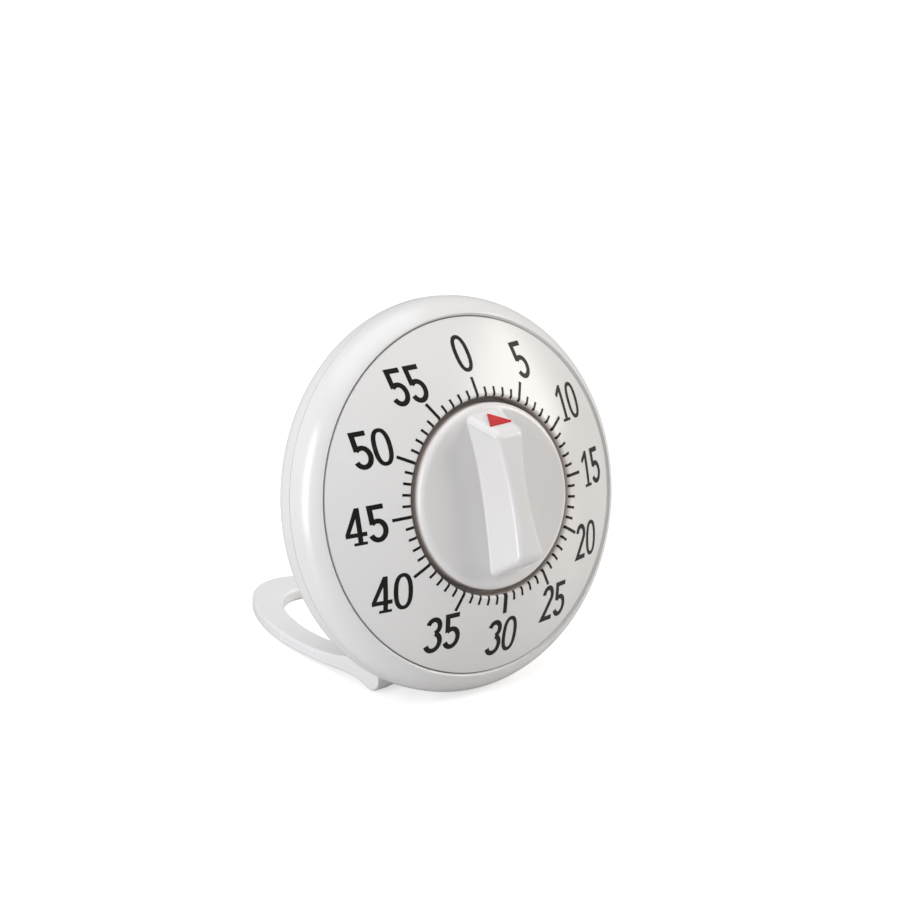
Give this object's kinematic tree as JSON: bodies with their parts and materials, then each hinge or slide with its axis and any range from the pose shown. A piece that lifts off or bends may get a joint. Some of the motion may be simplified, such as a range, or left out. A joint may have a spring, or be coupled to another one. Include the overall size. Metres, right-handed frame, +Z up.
{
  "type": "kitchen timer",
  "caption": "Round mechanical sixty-minute kitchen timer with a domed dial, a grip-bar knob and a fold-out loop stand",
  "frame": {"origin": "centre of the whole object's box in plan, on the surface that it stands on, with the stand folded out", "axes": "+Z up, the dial faces -Y and leans back, the loop stand reaches out towards +Y, and +X is towards 3 o'clock"},
  "size_m": [0.12, 0.1334, 0.1178],
  "materials": {
    "white_plastic": "satin moulded plastic",
    "white_knob": "satin moulded plastic",
    "red_plastic": "red printed foil",
    "natural_nylon": "unpainted nylon",
    "brass": "stamped brass sheet",
    "steel": "turned steel",
    "spring_steel": "blued spring steel",
    "bell_steel": "nickel plated"
  },
  "bodies": {
    "case": {"front_shell": "white_plastic", "dial_plate": "white_plastic", "rear_cover": "white_plastic", "case_screw_1": "steel", "case_screw_2": "steel", "case_screw_3": "steel", "movement_front_plate": "brass", "movement_rear_plate": "brass", "pillar_1": "brass", "pillar_2": "brass", "pillar_3": "brass", "pillar_screw_1": "steel", "pillar_screw_2": "steel", "pillar_screw_3": "steel", "movement_screw_1": "steel", "movement_screw_2": "steel", "movement_screw_3": "steel", "mainspring": "spring_steel", "spring_post": "steel", "bell": "bell_steel", "bell_post": "steel", "bell_screw": "steel"},
    "knob": {"knob": "white_knob", "pointer_inlay": "red_plastic", "main_arbor": "steel", "clutch_spring": "spring_steel", "stop_cam": "brass"},
    "main_wheel": {"main_wheel": "brass"},
    "second_wheel": {"second_arbor": "steel", "second_wheel": "natural_nylon"},
    "third_wheel": {"third_arbor": "steel", "third_wheel": "natural_nylon"},
    "escape_wheel": {"escape_arbor": "steel", "escape_wheel": "natural_nylon"},
    "pallet": {"pallet_arbor": "steel", "pallet_lever": "steel"},
    "hammer": {"hammer_arbor": "steel", "hammer_lever": "steel"},
    "stand": {"stand": "white_plastic"}
  },
  "joints": [
    {"name": "knob_turn", "type": "hinge", "parent": "case", "child": "knob", "pos_m": [0, -0.04949, 0.0639], "axis": [0, 0.9744, -0.225], "range_deg": [0, 354]},
    {"name": "main_wheel_turn", "type": "hinge", "parent": "case", "child": "main_wheel", "pos_m": [0, -0.02932, 0.05925], "axis": [0, -0.9744, 0.225], "continuous": true},
    {"name": "second_wheel_turn", "type": "hinge", "parent": "case", "child": "second_wheel", "pos_m": [-0.01973, -0.02566, 0.06577], "axis": [0, -0.9744, 0.225], "continuous": true},
    {"name": "third_wheel_turn", "type": "hinge", "parent": "case", "child": "third_wheel", "pos_m": [-0.01973, -0.02718, 0.04765], "axis": [0, -0.9744, 0.225], "continuous": true},
    {"name": "escape_wheel_turn", "type": "hinge", "parent": "case", "child": "escape_wheel", "pos_m": [-0.00499, -0.03155, 0.03806], "axis": [0, -0.9744, 0.225], "continuous": true},
    {"name": "pallet_rock", "type": "hinge", "parent": "case", "child": "pallet", "pos_m": [0.00441, -0.03232, 0.03473], "axis": [0, -0.9744, 0.225], "range_deg": [-3, 3]},
    {"name": "hammer_strike", "type": "hinge", "parent": "case", "child": "hammer", "pos_m": [0.02, -0.02286, 0.07212], "axis": [0, -0.9744, 0.225], "range_deg": [-1.5, 6], "stiffness_Nm_per_rad": 0.002},
    {"name": "stand_fold", "type": "hinge", "parent": "case", "child": "stand", "pos_m": [0, -0.02349, 0.00494], "axis": [1, 0, 0], "range_deg": [0, 77]}
  ],
  "couplings": [
    {"joint": "second_wheel_turn", "follows": "main_wheel_turn", "ratio": -6},
    {"joint": "third_wheel_turn", "follows": "main_wheel_turn", "ratio": 30},
    {"joint": "escape_wheel_turn", "follows": "main_wheel_turn", "ratio": -150}
  ]
}
